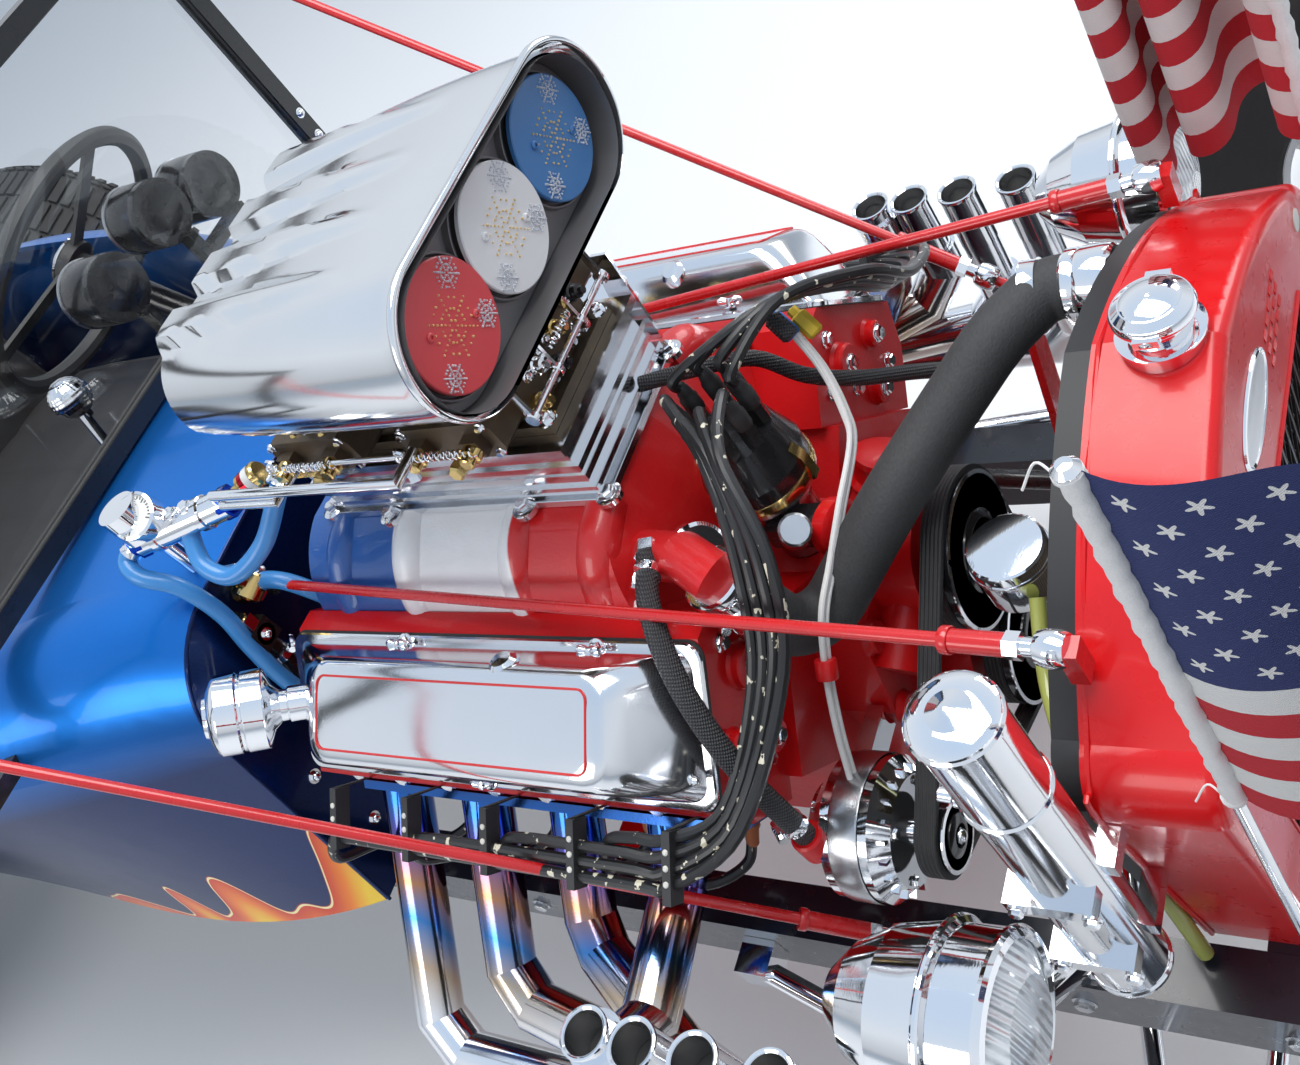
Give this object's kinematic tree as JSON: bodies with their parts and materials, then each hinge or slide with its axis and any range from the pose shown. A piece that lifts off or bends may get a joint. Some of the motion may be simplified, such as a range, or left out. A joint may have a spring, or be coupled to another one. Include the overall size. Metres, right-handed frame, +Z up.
{
  "type": "hot rod roadster",
  "caption": "Open bucket-bodied hot rod with a bare vee engine under an air scoop, fenderless front wheels, wide rear tyres, flat windshield and short pickup bed.",
  "frame": {"origin": "on the ground below the middle of the car", "axes": "+X forward, +Y to the left of the car, +Z up"},
  "size_m": [3.265, 1.72, 1.206],
  "materials": {
    "frame_paint": "gloss red paint",
    "body_paint": "gloss metallic blue paint",
    "shell_paint": "gloss red paint",
    "chrome": "polished",
    "polished_alloy": "polished",
    "black_paint": "gloss black paint",
    "engine_iron": "painted red",
    "carb_bronze": "dark bronze",
    "manifold": "banded blue, white and red",
    "black_plastic": "moulded",
    "rubber": "matte",
    "hose_blue": "matte",
    "tyre": "matte",
    "core": "dark",
    "trim_black": "satin",
    "glass": "clear",
    "red_lens": "clear red",
    "stay_red": "gloss red",
    "colour_plates": "enamelled discs",
    "flag_cloth": "printed cotton"
  },
  "bodies": {
    "root": {"frame_rails": "frame_paint", "frame_crossmembers": "frame_paint", "front_axle": "chrome", "front_spring": "black_paint", "link_rods": "chrome", "steering_column": "black_paint", "rear_axle": "black_paint", "coilovers": "chrome", "driveline": "engine_iron", "engine_block": "engine_iron", "cylinder_heads": "engine_iron", "valve_covers": "polished_alloy", "intake_manifold": "manifold", "plenum": "polished_alloy", "carburetors": "carb_bronze", "intake_scoop": "polished_alloy", "scoop_plates": "colour_plates", "distributor": "black_plastic", "timing_cover": "engine_iron", "pulleys": "black_paint", "alternator": "chrome", "exhaust_headers": "chrome", "radiator_shell": "shell_paint", "grille": "black_paint", "radiator": "core", "radiator_cap": "chrome", "overflow_tank": "chrome", "radiator_hose": "rubber", "fuel_rail": "chrome", "heater_hoses": "hose_blue", "plug_leads": "rubber", "body_tub": "body_paint", "cockpit_floor": "black_paint", "seat": "trim_black", "dash": "black_paint", "shifter": "chrome", "windshield_frame": "black_paint", "windshield_glass": "glass", "stay_rods": "stay_red", "headlamps": "chrome", "headlamp_lenses": "glass", "pickup_bed": "body_paint", "fuel_tank": "black_paint", "tail_lamps": "red_lens", "flags": "flag_cloth"},
    "knuckle_left": {"knuckle_left": "chrome"},
    "knuckle_right": {"knuckle_right": "chrome"},
    "tie_rod": {"tie_rod": "chrome"},
    "drag_link": {"drag_link": "chrome"},
    "pitman_arm": {"pitman_arm": "black_paint"},
    "steering_wheel": {"steering_wheel": "black_plastic"},
    "front_wheel_left": {"front_rim_left": "polished_alloy", "front_tyre_left": "tyre"},
    "rear_wheel_left": {"rear_rim_left": "polished_alloy", "rear_tyre_left": "tyre"},
    "front_wheel_right": {"front_rim_right": "polished_alloy", "front_tyre_right": "tyre"},
    "rear_wheel_right": {"rear_rim_right": "polished_alloy", "rear_tyre_right": "tyre"}
  },
  "joints": [
    {"name": "steer_left", "type": "hinge", "parent": "root", "child": "knuckle_left", "pos_m": [1.3025, 0.61, 0.33], "axis": [0, 0, 1], "range_deg": [-30, 30]},
    {"name": "steer_right", "type": "hinge", "parent": "root", "child": "knuckle_right", "pos_m": [1.3025, -0.61, 0.33], "axis": [0, 0, 1], "range_deg": [-30, 30]},
    {"name": "tie_rod_pivot", "type": "hinge", "parent": "knuckle_left", "child": "tie_rod", "pos_m": [1.1525, 0.61, 0.1977], "axis": [0, 0, 1], "range_deg": [-30, 30]},
    {"name": "pitman_turn", "type": "hinge", "parent": "root", "child": "pitman_arm", "pos_m": [1.0825, 0.19, 0.216], "axis": [0, 0, 1], "range_deg": [-30, 30]},
    {"name": "drag_link_pivot", "type": "hinge", "parent": "pitman_arm", "child": "drag_link", "pos_m": [0.9325, 0.19, 0.2343], "axis": [0, 0, 1], "range_deg": [-30, 30]},
    {"name": "steering_wheel_turn", "type": "hinge", "parent": "root", "child": "steering_wheel", "pos_m": [-0.1775, 0.24, 0.92], "axis": [-0.7261, 0.0059, 0.6876], "range_deg": [-360, 360]},
    {"name": "front_wheel_left_spin", "type": "hinge", "parent": "knuckle_left", "child": "front_wheel_left", "pos_m": [1.3025, 0.7, 0.33], "axis": [0, 1, 0], "continuous": true},
    {"name": "front_wheel_right_spin", "type": "hinge", "parent": "knuckle_right", "child": "front_wheel_right", "pos_m": [1.3025, -0.7, 0.33], "axis": [0, 1, 0], "continuous": true},
    {"name": "rear_wheel_left_spin", "type": "hinge", "parent": "root", "child": "rear_wheel_left", "pos_m": [-1.2375, 0.72, 0.395], "axis": [0, 1, 0], "continuous": true},
    {"name": "rear_wheel_right_spin", "type": "hinge", "parent": "root", "child": "rear_wheel_right", "pos_m": [-1.2375, -0.72, 0.395], "axis": [0, 1, 0], "continuous": true}
  ],
  "couplings": [
    {"joint": "steer_right", "follows": "steer_left", "ratio": 1},
    {"joint": "tie_rod_pivot", "follows": "steer_left", "ratio": -1},
    {"joint": "pitman_turn", "follows": "steer_left", "ratio": 1},
    {"joint": "drag_link_pivot", "follows": "steer_left", "ratio": -1},
    {"joint": "steering_wheel_turn", "follows": "steer_left", "ratio": 12}
  ]
}
